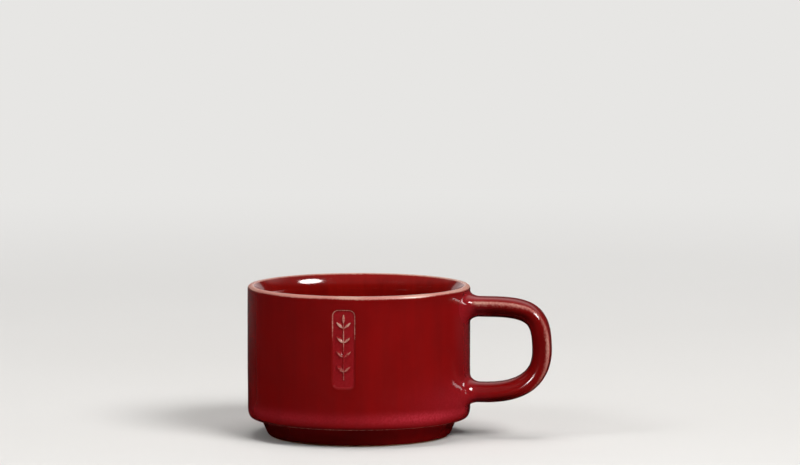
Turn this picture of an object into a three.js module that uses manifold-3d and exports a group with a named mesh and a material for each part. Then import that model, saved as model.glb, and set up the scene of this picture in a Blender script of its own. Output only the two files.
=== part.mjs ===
import * as THREE from 'three';
import { mergeVertices } from 'three/addons/utils/BufferGeometryUtils.js';
import Module from 'manifold-3d';

// A low stackable stoneware mug: a cup on a stepped foot, a strap handle stuck on with slip, and the
// coats of glaze over the clay. Millimetres, +Z up, with the handle along +X.
// The origin lies on the table, under the middle of the mug's length.

// Cup, measured over its glaze
const cupDiameter = 90;
const cupHeight = 61;
const wallThickness = 5.2;
const outerLipRound = 1.5;
const innerLipRound = 0.9;
const mouthFlareRadius = 10;
const mouthFlareAngle = THREE.MathUtils.degToRad(42);
const floorThickness = 5.7;
const innerCorner = 9;

// Shoulder and stepped foot, which nests in the mouth of the mug below
const footHeight = 7.6;
const footInset = 5;
const footTaper = THREE.MathUtils.degToRad(24);
const footEdgeRound = 2.6;
const footRingWidth = 4;
const recessDepth = 1.8;
const recessBevel = 1.8;
const shoulderHeight = 4;
const shoulderDepth = 1.5;

// Glaze coats, which stop short of the table
const glazeThickness = 0.4;
const bareFootHeight = 0.5;

// Handle strap, measured over its glaze: thinner at the grip than along its arms. A bend's fullness says
// how far into its corner it goes, from 0 for a straight cut to 1.
const handleReach = 33.6;
const handleWidth = 13;
const armThickness = 8.2;
const gripThickness = 7.7;
const ridgeShare = 0.35;
const handleSquareness = 2.2;
const upperBendReach = 20.3;
const upperBendFullness = 0.81;
const lowerBendReach = 23.2;
const lowerBendFullness = 0.65;
const handleBelowRim = 1.6;
const handleAboveShoulder = 0.6;

// Flared collars of slip at the roots of the handle
const flareAround = 6.6;
const flareOut = 2.2;
const flareIntoGap = 3.4;
const flareLength = 4.5;

// Clearance where one piece is fitted to another
const slipFilm = 0.1;

// Corners closer than this are one corner
const mergeDistance = 1e-4;

// Fineness of the round stretches
const turnSegments = 48;
const arcDivisions = 2;
const sectionPoints = 20;
const handleSteps = 36;
const flareSteps = 6;

// Worked out from the sizes above
const cupRadius = cupDiameter / 2;
const boreRadius = cupRadius - wallThickness;
const flareCos = Math.cos(mouthFlareAngle);
const flareSin = Math.sin(mouthFlareAngle);
const mouthDepth = mouthFlareRadius * (1 - flareCos) + innerLipRound * flareCos;
const mouthHeight = mouthFlareRadius * flareSin + innerLipRound * (1 - flareSin);
const rimMiddle = (cupRadius - outerLipRound + boreRadius + mouthDepth) / 2;
const clayRadius = cupRadius - glazeThickness;
const seatRadius = clayRadius + slipFilm;
const shoulderTop = footHeight + shoulderHeight;
const floorHeight = recessDepth + floorThickness;
const footTopRadius = cupRadius - footInset;
const footSideAtTable = footTopRadius - footHeight * Math.tan(footTaper);
const footArcX = footSideAtTable + footEdgeRound * (Math.tan(footTaper) - 1 / Math.cos(footTaper));
const ringInnerRadius = footArcX - footRingWidth;
const recessRadius = ringInnerRadius - recessBevel;
const glazeLineAngle = Math.asin(bareFootHeight / footEdgeRound - 1);
const upperArm = cupHeight - handleBelowRim - flareOut - armThickness / 2;
const lowerArm = shoulderTop + handleAboveShoulder + flareOut + armThickness / 2;
const gripHeight = (upperArm + lowerArm) / 2;
const bendRise = upperArm - gripHeight;
const gripX = cupRadius + handleReach - gripThickness / 2;
const flareEnd = cupRadius + flareLength;
const upperRoot = { height: upperArm, outward: 1 };
const lowerRoot = { height: lowerArm, outward: -1 };

const wasm = await Module();
wasm.setup();

const clay = new THREE.MeshStandardMaterial({ color: 0xc49a7c, roughness: 0.75, metalness: 0 });
const redGlaze = new THREE.MeshStandardMaterial({ color: 0x6e0f0d, roughness: 0.15, metalness: 0 });

function mesh(name, geometry, material) {
  const piece = new THREE.Mesh(geometry, material.clone());
  piece.name = name;
  return piece;
}

// A closed mesh with its shared corners merged, as a solid that can be cut
function solid(geometry) {
  geometry.deleteAttribute('normal');
  geometry.deleteAttribute('uv');
  const merged = mergeVertices(geometry, mergeDistance);
  const vertProperties = new Float32Array(merged.attributes.position.array);
  const triVerts = new Uint32Array(merged.index.array);
  return new wasm.Manifold(new wasm.Mesh({ numProp: 3, vertProperties, triVerts }));
}

function geometryOf(body) {
  const { vertProperties, triVerts } = body.getMesh();
  const geometry = new THREE.BufferGeometry();
  geometry.setAttribute('position', new THREE.BufferAttribute(vertProperties, 3));
  geometry.setIndex(new THREE.BufferAttribute(triVerts, 1));
  geometry.computeVertexNormals();
  return geometry;
}

// Turns a profile of radius and height about the cup's axis
function turned(profile) {
  const geometry = new THREE.LatheGeometry(profile, turnSegments);
  geometry.rotateX(Math.PI / 2);
  return geometry;
}

// The outside of the cup, from the glaze line up to the middle of the rim, moved inwards by inset
function outsideProfile(inset) {
  const footSide = footTopRadius + inset * (Math.tan(footTaper) - 1 / Math.cos(footTaper));
  const path = new THREE.Path();
  path.absarc(footArcX, footEdgeRound, footEdgeRound - inset, glazeLineAngle, -footTaper);
  path.lineTo(footSide, footHeight + inset);
  path.absellipse(cupRadius - shoulderDepth, shoulderTop, shoulderDepth - inset, shoulderHeight - inset,
    -Math.PI / 2, 0);
  path.absarc(cupRadius - outerLipRound, cupHeight - outerLipRound, outerLipRound - inset, 0, Math.PI / 2);
  path.lineTo(rimMiddle, cupHeight - inset);
  return path.getPoints(arcDivisions);
}

// The inside of the cup, from the middle of the floor up to the middle of the rim, moved into the clay
function insideProfile(inset) {
  const path = new THREE.Path();
  path.moveTo(0, floorHeight - inset);
  path.lineTo(boreRadius - innerCorner, floorHeight - inset);
  path.absarc(boreRadius - innerCorner, floorHeight + innerCorner, innerCorner + inset, -Math.PI / 2, 0);
  path.absarc(boreRadius + mouthFlareRadius, cupHeight - mouthHeight, mouthFlareRadius - inset,
    Math.PI, Math.PI - mouthFlareAngle, true);
  path.absarc(boreRadius + mouthDepth, cupHeight - innerLipRound, innerLipRound - inset,
    Math.PI - mouthFlareAngle, Math.PI / 2, true);
  path.lineTo(rimMiddle, cupHeight - inset);
  return path.getPoints(arcDivisions);
}

// The bare underside, from the middle of the recess out over the foot ring to the glaze line
function footProfile() {
  const path = new THREE.Path();
  path.moveTo(0, recessDepth);
  path.lineTo(recessRadius, recessDepth);
  path.lineTo(ringInnerRadius, 0);
  path.absarc(footArcX, footEdgeRound, footEdgeRound, -Math.PI / 2, glazeLineAngle);
  return path.getPoints(arcDivisions);
}

// Strap section as an egg of two half superellipses, which share their widest line near the outer face.
// x is the way out of the finger gap from the strap's middle line, and y the way across the strap.
// The section is grown all round by grow, and by the collar's flare at spread 1.
function strapSection(thickness, grow, spread = 0) {
  const ridge = thickness * ridgeShare;
  const outer = ridge + flareOut * spread + grow;
  const inner = thickness - ridge + flareIntoGap * spread + grow;
  const halfWidth = handleWidth / 2 + flareAround * spread + grow;
  const rounded = (value) => Math.sign(value) * Math.abs(value) ** (2 / handleSquareness);
  const corner = (step) => {
    const angle = (2 * Math.PI * step) / sectionPoints;
    const across = rounded(Math.cos(angle));
    const x = thickness / 2 - ridge + across * (across > 0 ? outer : inner);
    return new THREE.Vector2(x, halfWidth * rounded(Math.sin(angle)));
  };
  return Array.from({ length: sectionPoints }, (_, step) => corner(step));
}

// The strap's middle line: out along the upper arm, round two bends that meet at the middle of the grip, and
// back along the lower arm
function strapLine() {
  const line = new THREE.Path();
  line.moveTo(rimMiddle, upperArm);
  line.lineTo(gripX - upperBendReach, upperArm);
  line.bezierCurveTo(
    gripX - upperBendReach * (1 - upperBendFullness), upperArm,
    gripX, gripHeight + bendRise * upperBendFullness,
    gripX, gripHeight,
  );
  line.bezierCurveTo(
    gripX, gripHeight - bendRise * lowerBendFullness,
    gripX - lowerBendReach * (1 - lowerBendFullness), lowerArm,
    gripX - lowerBendReach, lowerArm,
  );
  line.lineTo(rimMiddle, lowerArm);
  return line;
}

// The strap from root to root, with its surface at an inset from the glaze
function sweptStrap(inset) {
  const line = strapLine();
  const ringAt = (_, step) => {
    const middle = line.getPointAt(step / handleSteps);
    const along = line.getTangentAt(step / handleSteps);
    const swell = THREE.MathUtils.smoothstep(gripX - middle.x, 0, upperBendReach / 3);
    const section = strapSection(THREE.MathUtils.lerp(gripThickness, armThickness, swell), -inset);
    return section.map(({ x, y }) => new THREE.Vector3(middle.x - x * along.y, y, middle.y + x * along.x));
  };
  return solid(loft(Array.from({ length: handleSteps + 1 }, ringAt)));
}

// Skins a stack of rings that have equally many points, and closes both ends
function loft(rings) {
  const count = rings[0].length;
  const points = rings.flat();
  const triangles = [];
  for (let ring = 0; ring < rings.length - 1; ring += 1) {
    for (let step = 0; step < count; step += 1) {
      const a = ring * count + step;
      const b = ring * count + ((step + 1) % count);
      triangles.push(a, b + count, b, a, a + count, b + count);
    }
  }
  const lastRing = points.length - count;
  for (let step = 1; step < count - 1; step += 1) {
    triangles.push(0, step, step + 1);
    triangles.push(lastRing, lastRing + step + 1, lastRing + step);
  }
  const geometry = new THREE.BufferGeometry().setFromPoints(points);
  geometry.setIndex(triangles);
  return geometry;
}

// Outline round a root, as heights and ways across, turned with the strap's outer face away from the gap
function rootOutline(root, spread, grow = 0) {
  const { height, outward } = root;
  const section = strapSection(armThickness, grow, spread);
  const outline = section.map(({ x, y }) => ({ height: height + outward * x, across: y }));
  return outward > 0 ? outline : outline.reverse();
}

// An outline laid on a wall of the given radius
function wallRing(outline, radius) {
  const onWall = (across) => Math.sqrt(radius ** 2 - across ** 2);
  return outline.map(({ height, across }) => new THREE.Vector3(onWall(across), across, height));
}

// Collar of slip round a root: it lies tangent to the wall and runs out along the arm as a quarter ellipse
function slipCollar(root) {
  const rings = [];
  for (const spread of [0, 1 / 3, 2 / 3, 1]) {
    rings.push(wallRing(rootOutline(root, spread, -glazeThickness), seatRadius));
  }
  for (let step = 0; step <= flareSteps; step += 1) {
    const turn = ((Math.PI / 2) * step) / flareSteps;
    const lifted = 1 - Math.cos(turn);
    const ring = wallRing(rootOutline(root, 1 - Math.sin(turn)), cupRadius);
    ring.forEach((point) => point.setX(THREE.MathUtils.lerp(point.x, flareEnd, lifted)));
    rings.push(ring);
  }
  return solid(loft(rings));
}

// A straight plug the size of a collar's foot, from the cup's axis out, which opens the outer glaze for it
function collarOpening(root) {
  const outline = rootOutline(root, 1, slipFilm);
  const ring = (x) => outline.map(({ height, across }) => new THREE.Vector3(x, across, height));
  return solid(loft([ring(0), ring(flareEnd)]));
}

function cupBody() {
  const profile = [
    ...footProfile(),
    ...outsideProfile(glazeThickness),
    ...insideProfile(glazeThickness).reverse().slice(1),
  ];
  return mesh('cup_body', turned(profile), clay);
}

function outerGlaze() {
  const profile = [...outsideProfile(0), ...outsideProfile(glazeThickness).reverse()];
  profile.push(profile[0]);
  const coat = solid(turned(profile)).subtract(collarOpening(upperRoot)).subtract(collarOpening(lowerRoot));
  return mesh('outer_glaze', geometryOf(coat), redGlaze);
}

function linerGlaze() {
  const profile = [...insideProfile(glazeThickness), ...insideProfile(0).reverse()];
  return mesh('liner_glaze', turned(profile), redGlaze);
}

function baseGlaze() {
  const path = new THREE.Path();
  path.moveTo(0, recessDepth - glazeThickness);
  path.lineTo(recessRadius, recessDepth - glazeThickness);
  path.lineTo(recessRadius, recessDepth);
  path.lineTo(0, recessDepth);
  return mesh('base_glaze', turned(path.getPoints()), redGlaze);
}

function handle() {
  const wall = [[0, 0], [seatRadius, 0], [seatRadius, cupHeight], [0, cupHeight]];
  const wallCutter = solid(turned(wall.map(([radius, height]) => new THREE.Vector2(radius, height))));
  const strap = sweptStrap(glazeThickness).subtract(wallCutter);
  return mesh('handle', geometryOf(strap), clay);
}

function handleGlaze() {
  const coat = sweptStrap(0).subtract(sweptStrap(glazeThickness));
  const rootCutter = new THREE.BoxGeometry(flareEnd, handleWidth * 2, cupHeight * 2);
  rootCutter.translate(flareEnd / 2, 0, cupHeight / 2);
  return mesh('handle_glaze', geometryOf(coat.subtract(solid(rootCutter))), redGlaze);
}

function slipJoint(name, root) {
  const bore = sweptStrap(glazeThickness - slipFilm);
  return mesh(name, geometryOf(slipCollar(root).subtract(bore)), redGlaze);
}

const mug = new THREE.Group();
mug.add(cupBody());
mug.add(handle());
mug.add(slipJoint('upper_slip_joint', upperRoot));
mug.add(slipJoint('lower_slip_joint', lowerRoot));
mug.add(linerGlaze());
mug.add(outerGlaze());
mug.add(handleGlaze());
mug.add(baseGlaze());
mug.position.x = -handleReach / 2;

export default mug;
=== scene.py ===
import math

import bpy
import numpy as np
from mathutils import Matrix, Vector


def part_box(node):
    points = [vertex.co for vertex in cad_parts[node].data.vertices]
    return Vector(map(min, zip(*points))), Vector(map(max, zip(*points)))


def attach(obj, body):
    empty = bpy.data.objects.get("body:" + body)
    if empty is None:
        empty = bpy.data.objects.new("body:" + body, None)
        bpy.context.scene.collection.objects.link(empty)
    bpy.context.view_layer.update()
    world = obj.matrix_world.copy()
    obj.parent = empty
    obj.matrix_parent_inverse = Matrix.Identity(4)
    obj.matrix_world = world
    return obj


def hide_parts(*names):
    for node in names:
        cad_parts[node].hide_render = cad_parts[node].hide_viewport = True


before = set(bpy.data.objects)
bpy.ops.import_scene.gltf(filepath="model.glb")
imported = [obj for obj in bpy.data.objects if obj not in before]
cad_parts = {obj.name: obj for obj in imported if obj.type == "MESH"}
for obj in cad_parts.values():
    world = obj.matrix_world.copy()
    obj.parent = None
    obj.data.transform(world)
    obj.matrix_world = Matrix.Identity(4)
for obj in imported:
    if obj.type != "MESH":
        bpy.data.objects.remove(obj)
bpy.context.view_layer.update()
scene = bpy.context.scene
mm = 0.001
tiny = 0.001 * mm    # too small to see
print("loaded the mug's frame:", ", ".join(sorted(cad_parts)))

# Sizes that the frame already holds
coatLow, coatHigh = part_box("outer_glaze")
strapLow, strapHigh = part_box("handle_glaze")
axisX = (coatLow.x + coatHigh.x) / 2    # the cup's axis stands here, at y = 0
cupRadius = (coatHigh.y - coatLow.y) / 2
rimHeight = coatHigh.z
strapWidth = strapHigh.y - strapLow.y
gripOuter = strapHigh.x - axisX    # outside of the grip, from the cup's axis


# Small tools for the surfaces

def easeBetween(low, high, value):
    # 0 below low, 1 above high, and the cubic 3t^2 - 2t^3 between them
    share = np.clip((value - low) / (high - low), 0.0, 1.0)
    return share * share * (3.0 - 2.0 * share)


def belowRim(depths, up):
    # 0 under the first of two depths below the rim, easing to 1 over the second
    return easeBetween(rimHeight - depths[0], rimHeight - depths[1], up)


def bell(value, middle, width):
    # the Gauss curve exp(-x^2), one high at the middle
    return np.exp(-((value - middle) / width) ** 2)


def arcRun(centre, radii, start, end, count):
    # points of an ellipse: centre plus radii times the cosine and sine of an angle in degrees;
    # one radius makes a circle
    angle = np.radians(np.linspace(start, end, count))
    radii = np.broadcast_to(radii, 2)
    across = centre[0] + radii[0] * np.cos(angle)
    up = centre[1] + radii[1] * np.sin(angle)
    return np.stack([across, up], axis=1)


def lineRun(start, end, count):
    # points in equal steps from start to end
    share = np.linspace(0.0, 1.0, count)[:, None]
    return np.array(start) + share * (np.array(end) - np.array(start))


def bendRun(start, corner, end, fullness, count):
    # a cubic Bezier curve whose two handles reach the given share of the way from its ends
    # to its corner
    start, corner, end = np.array(start), np.array(corner), np.array(end)
    leaving = start + fullness * (corner - start)
    arriving = end + fullness * (corner - end)
    share = np.linspace(0.0, 1.0, count)[:, None]
    rest = 1.0 - share
    return (
        rest ** 3 * start
        + 3 * rest ** 2 * share * leaving
        + 3 * rest * share ** 2 * arriving
        + share ** 3 * end
    )


def joinRuns(*runs):
    # one outline from several runs, without the points that two runs share
    points = np.concatenate(runs)
    gaps = np.linalg.norm(np.diff(points, axis=0), axis=1)
    return points[np.append(True, gaps > tiny)]


def gridFaces(rowCount, columnCount, closeRows, closeColumns=True):
    # quads of a grid, whose rows and columns close on themselves if asked
    row = np.arange(rowCount if closeRows else rowCount - 1)
    column = np.arange(columnCount if closeColumns else columnCount - 1)
    row, column = np.meshgrid(row, column, indexing="ij")
    nextRow = (row + 1) % rowCount
    nextColumn = (column + 1) % columnCount
    corners = [
        row * columnCount + column,
        row * columnCount + nextColumn,
        nextRow * columnCount + nextColumn,
        nextRow * columnCount + column,
    ]
    return np.stack(corners, axis=-1).reshape(-1, 4)


def fanFaces(pole, firstPoint, columnCount):
    # triangles from a pole to one row of the grid
    column = np.arange(columnCount)
    nextColumn = (column + 1) % columnCount
    corners = [np.full(columnCount, pole), firstPoint + column, firstPoint + nextColumn]
    return np.stack(corners, axis=-1)


def enclosedVolume(points, faces):
    # sum of the tetrahedra from the origin to each triangle of each face
    first, second, third = points[faces[:, 0]], points[faces[:, 1]], points[faces[:, 2]]
    volume = np.einsum("ij,ij->i", first, np.cross(second, third)).sum()
    if faces.shape[1] == 4:
        fourth = points[faces[:, 3]]
        volume += np.einsum("ij,ij->i", first, np.cross(third, fourth)).sum()
    return volume / 6.0


def newPiece(name, points, faces, material):
    mesh = bpy.data.meshes.new(name)
    mesh.from_pydata(points.tolist(), [], faces)
    mesh.shade_smooth()
    mesh.materials.append(material)
    piece = bpy.data.objects.new(name, mesh)
    scene.collection.objects.link(piece)
    return piece


sharpAngle = 50.0    # degrees; faces that meet at more than this keep a sharp edge


def makeSkin(name, grid, masks, material, nodes, poles=False):
    # a closed skin over a grid of points (rows, columns, xyz): its rows close on themselves,
    # or its first and last rows close in two poles at their middles
    shape = grid.shape[:2]
    points = grid.reshape(-1, 3)
    values = {key: np.broadcast_to(mask, shape).reshape(-1) for key, mask in masks.items()}
    faces = [gridFaces(*shape, closeRows=not poles)]
    if poles:
        ends = np.stack([grid[0].mean(axis=0), grid[-1].mean(axis=0)])
        count = len(points)
        points = np.concatenate([points, ends])
        faces.append(fanFaces(count, 0, shape[1])[:, ::-1])
        faces.append(fanFaces(count + 1, count - shape[1], shape[1]))
        values = {key: np.append(mask, [mask[0], mask[-1]]) for key, mask in values.items()}
    if sum(enclosedVolume(points, part) for part in faces) < 0:
        faces = [part[:, ::-1] for part in faces]    # turned round, so that they point outwards
    faces = sum((part.tolist() for part in faces), [])
    piece = newPiece(name, points, faces, material)
    piece.data.set_sharp_from_angle(angle=math.radians(sharpAngle))
    for key, mask in values.items():
        layer = piece.data.attributes.new(key, "FLOAT", "POINT")
        layer.data.foreach_set("value", mask.astype(np.float32))
    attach(piece, "root")
    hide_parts(*nodes)
    print(f"made {name}: {len(points)} points, {len(faces)} faces")


# Small tools for the finishes

def tone(red, green, blue):
    # a screen colour, 0 to 255, turned into the light values that the shader takes: the screen's
    # own curve undone
    light = []
    for value in (red, green, blue):
        share = value / 255
        light.append(((share + 0.055) / 1.055) ** 2.4 if share > 0.04045 else share / 12.92)
    return (*light, 1.0)


def addNode(tree, kind, **settings):
    made = tree.nodes.new(kind)
    for key, value in settings.items():
        setattr(made, key, value)
    return made


def noiseNode(tree, vector, scale, detail=2.0, roughness=0.5):
    made = addNode(tree, "ShaderNodeTexNoise")
    made.inputs["Scale"].default_value = scale
    made.inputs["Detail"].default_value = detail
    made.inputs["Roughness"].default_value = roughness
    tree.links.new(vector, made.inputs["Vector"])
    return made.outputs["Fac"]


def stretched(tree, vector, scale):
    made = addNode(tree, "ShaderNodeMapping")
    made.inputs["Scale"].default_value = scale
    tree.links.new(vector, made.inputs["Vector"])
    return made.outputs["Vector"]


def mathNode(tree, operation, first, second, clamp=False):
    made = addNode(tree, "ShaderNodeMath", operation=operation, use_clamp=clamp)
    for socket, value in zip(made.inputs, (first, second)):
        if isinstance(value, (int, float)):
            socket.default_value = value
        else:
            tree.links.new(value, socket)
    return made.outputs["Value"]


def blended(tree, first, second, share):
    # a share of the first value, and the rest of the second
    most = mathNode(tree, "MULTIPLY", first, share)
    rest = mathNode(tree, "MULTIPLY", second, 1.0 - share)
    return mathNode(tree, "ADD", most, rest)


def rangeNode(tree, value, fromLow, fromHigh, toLow=0.0, toHigh=1.0):
    # the same cubic as easeBetween, from one range to another
    made = addNode(tree, "ShaderNodeMapRange", interpolation_type="SMOOTHSTEP")
    limits = {"From Min": fromLow, "From Max": fromHigh, "To Min": toLow, "To Max": toHigh}
    for key, number in limits.items():
        made.inputs[key].default_value = number
    tree.links.new(value, made.inputs["Value"])
    return made.outputs["Result"]


def mixColours(tree, share, first, second):
    made = addNode(tree, "ShaderNodeMix", data_type="RGBA")
    sockets = (made.inputs[0], made.inputs[6], made.inputs[7])    # the share and the two colours
    for socket, value in zip(sockets, (share, first, second)):
        if isinstance(value, tuple):
            socket.default_value = value
        else:
            tree.links.new(value, socket)
    return made.outputs[2]


def attributeNode(tree, name):
    return addNode(tree, "ShaderNodeAttribute", attribute_name=name).outputs["Fac"]


def objectPlace(tree):
    return addNode(tree, "ShaderNodeTexCoord").outputs["Object"]


def addRelief(tree, shader, height, distance):
    relief = addNode(tree, "ShaderNodeBump")
    relief.inputs["Distance"].default_value = distance
    tree.links.new(height, relief.inputs["Height"])
    tree.links.new(relief.outputs["Normal"], shader.inputs["Normal"])


def newGroup(name, inputs, outputs):
    tree = bpy.data.node_groups.new(name, "ShaderNodeTree")
    for key, kind in inputs.items():
        tree.interface.new_socket(key, in_out="INPUT", socket_type=kind)
    for key, kind in outputs.items():
        tree.interface.new_socket(key, in_out="OUTPUT", socket_type=kind)
    given = addNode(tree, "NodeGroupInput").outputs
    wanted = addNode(tree, "NodeGroupOutput").inputs
    return tree, given, wanted


def newMaterial(name, **constants):
    # an empty Principled material with its plain values set on the shader's own sockets
    material = bpy.data.materials.new(name)
    material.use_nodes = True
    shader = material.node_tree.nodes["Principled BSDF"]
    for key, value in constants.items():
        shader.inputs[key].default_value = value
    return material, material.node_tree, shader


# Red glaze: cloudy and streaked, crimson where it pools and as a painted sheen, tan where it runs thin
# over an edge, and darker under painted shade

glazeLook = {    # a span is the part of a noise or mask over which one look turns into the next
    "cloudScale": 55.0,
    "cloudDetail": 3.0,
    "streakScale": 380.0,
    "streakStretch": (1.0, 1.0, 0.07),
    "fleckScale": 1300.0,
    "fleckDetail": 3.0,
    "fleckRoughness": 0.6,
    "crumbScale": 1700.0,
    "cloudShare": 0.6,    # of the deeper red; the streaks make the rest
    "deepSpan": (0.34, 0.66),
    "mottleSpan": (0.34, 0.66),
    "mottleLeast": 0.6,
    "fleckShare": 0.6,    # of the crumbly edge; the crumbs make the rest
    "crumble": 0.8,
    "bareSpan": (0.24, 0.8),
    "tanSpan": (0.4, 0.6),
    "tanPooled": 0.35,
    "glossSpan": (0.3, 0.7),
    "roughness": (0.06, 0.13),
    "tanRoughness": 0.32,
    "fleckHeight": 0.12,    # against the clouds' height
    "skinHeight": 0.05 * mm,
}


def glazeTones():
    look = glazeLook
    colour, value = "NodeSocketColor", "NodeSocketFloat"
    inputs = {key: colour for key in ("Red", "Deep", "PaintedShadeRed", "PooledAndSheen", "Broken")}
    inputs.update({key: value for key in ("Thin", "Pool_And_Sheen", "Painted_Shade")})
    outputs = {"Colour": colour, "Roughness": value, "Height": value}
    tree, given, wanted = newGroup("glazeTones", inputs, outputs)
    place = objectPlace(tree)
    streaked = stretched(tree, place, look["streakStretch"])
    cloud = noiseNode(tree, place, look["cloudScale"], look["cloudDetail"])
    streak = noiseNode(tree, streaked, look["streakScale"])
    fleck = noiseNode(tree, place, look["fleckScale"], look["fleckDetail"], look["fleckRoughness"])
    crumb = noiseNode(tree, place, look["crumbScale"])

    # red, deeper in clouds and streaks, and darkened to dark red where the piece's mask paints shade
    deeper = blended(tree, cloud, streak, look["cloudShare"])
    deeper = rangeNode(tree, deeper, *look["deepSpan"])
    body = mixColours(tree, deeper, given["Red"], given["Deep"])
    body = mixColours(tree, given["Painted_Shade"], body, given["PaintedShadeRed"])

    # pooled glaze and painted sheen, mottled by flecks
    mottle = rangeNode(tree, fleck, *look["mottleSpan"], look["mottleLeast"], 1.0)
    mottled = mathNode(tree, "MULTIPLY", given["Pool_And_Sheen"], mottle, clamp=True)
    pooledAndSheen = mixColours(tree, mottled, body, given["PooledAndSheen"])

    # thin glaze, with a crumbly edge
    crumble = blended(tree, fleck, crumb, look["fleckShare"])
    crumble = mathNode(tree, "SUBTRACT", crumble, 0.5)    # either side of nothing
    ragged = mathNode(tree, "MULTIPLY", crumble, look["crumble"])
    bare = rangeNode(tree, mathNode(tree, "ADD", given["Thin"], ragged), *look["bareSpan"])
    clouded = rangeNode(tree, cloud, *look["tanSpan"], 0.0, look["tanPooled"])
    tan = mixColours(tree, clouded, given["Broken"], given["PooledAndSheen"])
    tree.links.new(mixColours(tree, bare, pooledAndSheen, tan), wanted["Colour"])

    gloss = rangeNode(tree, streak, *look["glossSpan"], *look["roughness"])
    dull = mathNode(tree, "MULTIPLY", bare, look["tanRoughness"])
    tree.links.new(mathNode(tree, "MAXIMUM", gloss, dull), wanted["Roughness"])
    flecked = mathNode(tree, "MULTIPLY", fleck, look["fleckHeight"])
    tree.links.new(mathNode(tree, "ADD", cloud, flecked), wanted["Height"])
    return tree


glazeGroup = glazeTones()


def glazeMaterial(name, colours):
    # the masks thin, pool and painted sheen, and painted shade are attributes of each piece
    material, tree, shader = newMaterial(name)
    tones = addNode(tree, "ShaderNodeGroup", node_tree=glazeGroup)
    for key, value in colours.items():
        tones.inputs[key].default_value = value
    for key in ("Thin", "Pool_And_Sheen", "Painted_Shade"):
        tree.links.new(attributeNode(tree, key.lower()), tones.inputs[key])
    tree.links.new(tones.outputs["Colour"], shader.inputs["Base Color"])
    tree.links.new(tones.outputs["Roughness"], shader.inputs["Roughness"])
    addRelief(tree, shader, tones.outputs["Height"], glazeLook["skinHeight"])
    return material


bothColours = {
    # dark red that paints shade, and tan where the glaze breaks
    "PaintedShadeRed": tone(52, 4, 3),
    "Broken": tone(188, 140, 125),
}
outsideColours = {
    **bothColours,
    "Red": tone(121, 11, 11),
    "Deep": tone(112, 9, 9),
    # crimson for pooled glaze, and for painted sheen on the outside
    "PooledAndSheen": tone(167, 41, 53),
}
linerColours = {
    **bothColours,
    "Red": tone(125, 13, 9),
    "Deep": tone(107, 9, 6),
    "PooledAndSheen": tone(140, 24, 20),
}
outsideGlaze = glazeMaterial("outside_glaze_red", outsideColours)
linerGlaze = glazeMaterial("liner_glaze_red", linerColours)


# Bare stoneware: sandy buff clay, toasted in patches, with dark grains

clayLook = {
    "sand": tone(196, 154, 122),
    "toasted": tone(150, 98, 66),
    "grain": tone(92, 58, 40),
    "patchScale": 90.0,
    "patchDetail": 4.0,
    "patchSpan": (0.35, 0.7),
    "grainScale": 2600.0,
    "grainDetail": 3.0,
    "grainRoughness": 0.65,
    "grainSpan": (0.58, 0.72),
    "grainMost": 0.7,
    "roughSpan": (0.3, 0.7),
    "roughness": (0.7, 0.95),
    "specular": 0.2,
    "grainHeight": 0.06 * mm,
}


def clayMaterial():
    look = clayLook
    constants = {"Specular IOR Level": look["specular"]}
    material, tree, shader = newMaterial("bare_stoneware", **constants)
    place = objectPlace(tree)
    patch = noiseNode(tree, place, look["patchScale"], look["patchDetail"])
    grain = noiseNode(tree, place, look["grainScale"], look["grainDetail"], look["grainRoughness"])
    toasted = rangeNode(tree, patch, *look["patchSpan"])
    body = mixColours(tree, toasted, look["sand"], look["toasted"])
    dark = rangeNode(tree, grain, *look["grainSpan"], 0.0, look["grainMost"])
    tree.links.new(mixColours(tree, dark, body, look["grain"]), shader.inputs["Base Color"])
    rough = rangeNode(tree, grain, *look["roughSpan"], *look["roughness"])
    tree.links.new(rough, shader.inputs["Roughness"])
    addRelief(tree, shader, grain, look["grainHeight"])
    return material


bareClay = clayMaterial()
print("made the finishes: outside glaze, liner glaze, bare stoneware")


# Cup: the same outline as the solids, in fine steps

cup = {
    "wall": 5.2 * mm,
    "outerLip": 1.5 * mm,
    "innerLip": 0.9 * mm,
    "mouthFlare": 10.0 * mm,
    "mouthLean": 42.0,
    "floorTop": 7.5 * mm,
    "innerCorner": 9.0 * mm,
    "footHeight": 7.6 * mm,
    "footTop": 40.0 * mm,
    "footTaper": 24.0,
    "footEdge": 2.6 * mm,
    "footRing": 4.0 * mm,
    "recessDepth": 1.8 * mm,
    "recessBevel": 1.8 * mm,
    "shoulderHeight": 4.0 * mm,
    "shoulderDepth": 1.5 * mm,
    "glaze": 0.4 * mm,
    "bareFoot": 0.5 * mm,
    "baseCreep": 1.2 * mm,    # width of the rounded edge of the glaze in the recess
    "unevenness": 0.07 * mm,
    "evenRim": 2.0 * mm,    # the wall's unevenness dies out over this much below the rim
    "columns": 200,
    "hiddenColumn": 0.5 * mm,    # steps across and up the panel, where the glaze hides the clay
    "hiddenRow": 1.2 * mm,
    "poleRadius": 0.4 * mm,    # the last ring round a pole
}
rows = {    # points along each run of the cup's outlines
    "recess": 16,
    "bevel": 6,
    "ring": 8,
    "footEdge": 8,
    "footSide": 9,
    "ledge": 6,
    "shoulder": 14,
    "belowPanel": 14,
    "abovePanel": 6,
    "outerLip": 12,
    "land": 3,
    "innerLip": 10,
    "flare": 24,
    "innerWall": 40,
    "innerCorner": 20,
    "floor": 24,
    "base": 24,
    "baseEdge": 8,
    "baseBack": 12,
}
unevenWaves = [    # waves round the cup, radians up each metre of wall, start, share
    {"around": 3, "rise": 90.0, "start": 0.4, "share": 0.5},
    {"around": 5, "rise": -140.0, "start": 2.1, "share": 0.3},
    {"around": 11, "rise": 260.0, "start": 1.3, "share": 0.2},
]
boreRadius = cupRadius - cup["wall"]
flareTurn = math.radians(cup["mouthLean"])
mouthDepth = cup["mouthFlare"] * (1 - math.cos(flareTurn)) + cup["innerLip"] * math.cos(flareTurn)
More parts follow.
